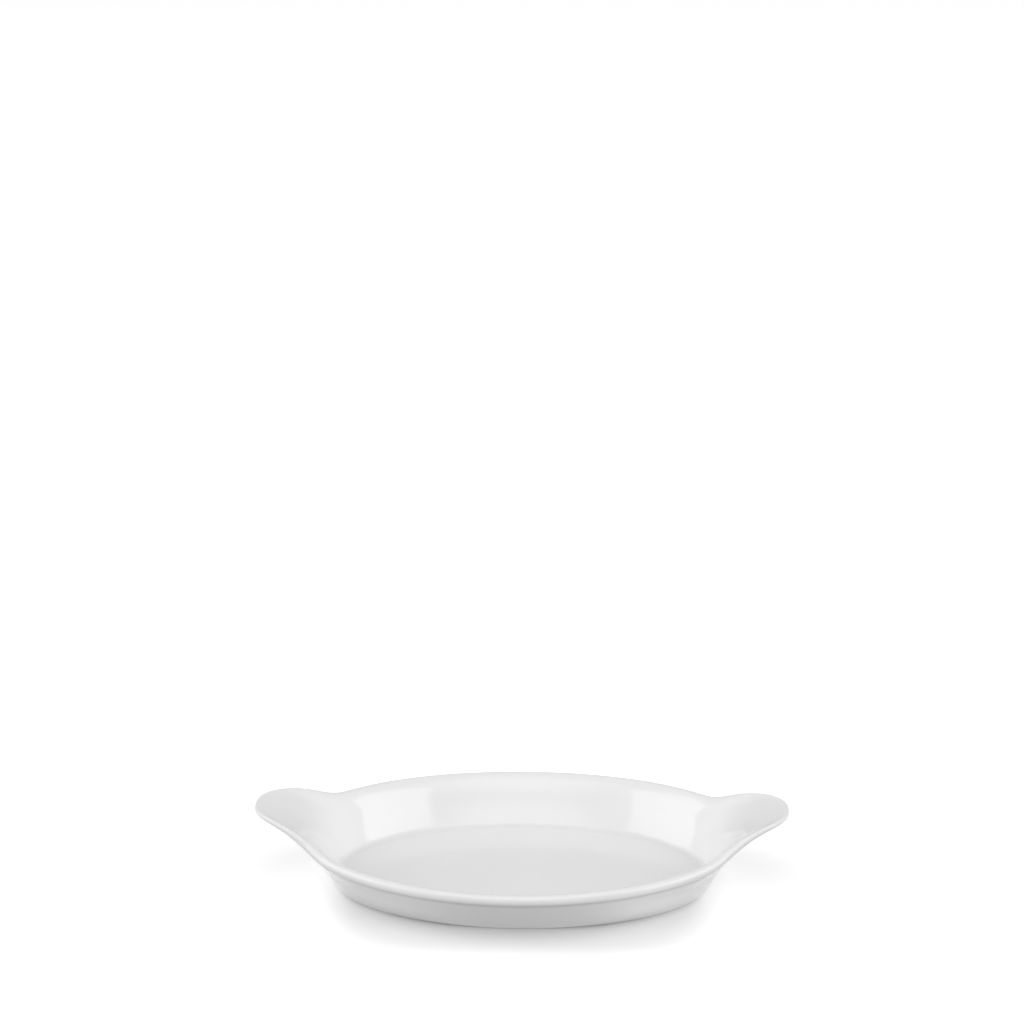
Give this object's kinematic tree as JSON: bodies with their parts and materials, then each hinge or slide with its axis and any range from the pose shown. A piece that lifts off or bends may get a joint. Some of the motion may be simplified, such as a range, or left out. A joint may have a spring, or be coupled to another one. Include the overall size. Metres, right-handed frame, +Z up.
{
  "type": "oval eared dish",
  "caption": "Shallow oval oven and serving dish in white glazed porcelain, with sloping walls, a beaded rim, upswept ear handles at the ends and a bare foot ring.",
  "frame": {"origin": "on the table under the middle of the dish, in the plane of the foot ring's flat underside", "axes": "+X along the length towards the right ear as pictured, +Y away from the viewer across the width, +Z up"},
  "size_m": [0.232, 0.126, 0.037],
  "materials": {
    "glaze": "glossy white glaze over porcelain",
    "bare_body": "unglazed, ground flat, fine matt porcelain"
  },
  "bodies": {
    "root": {"foot_ring": "bare_body", "well_floor": "glaze", "front_wall": "glaze", "back_wall": "glaze", "left_wall": "glaze", "right_wall": "glaze", "front_left_rim": "glaze", "front_right_rim": "glaze", "back_left_rim": "glaze", "back_right_rim": "glaze", "left_ear": "glaze", "right_ear": "glaze"}
  },
  "joints": []
}
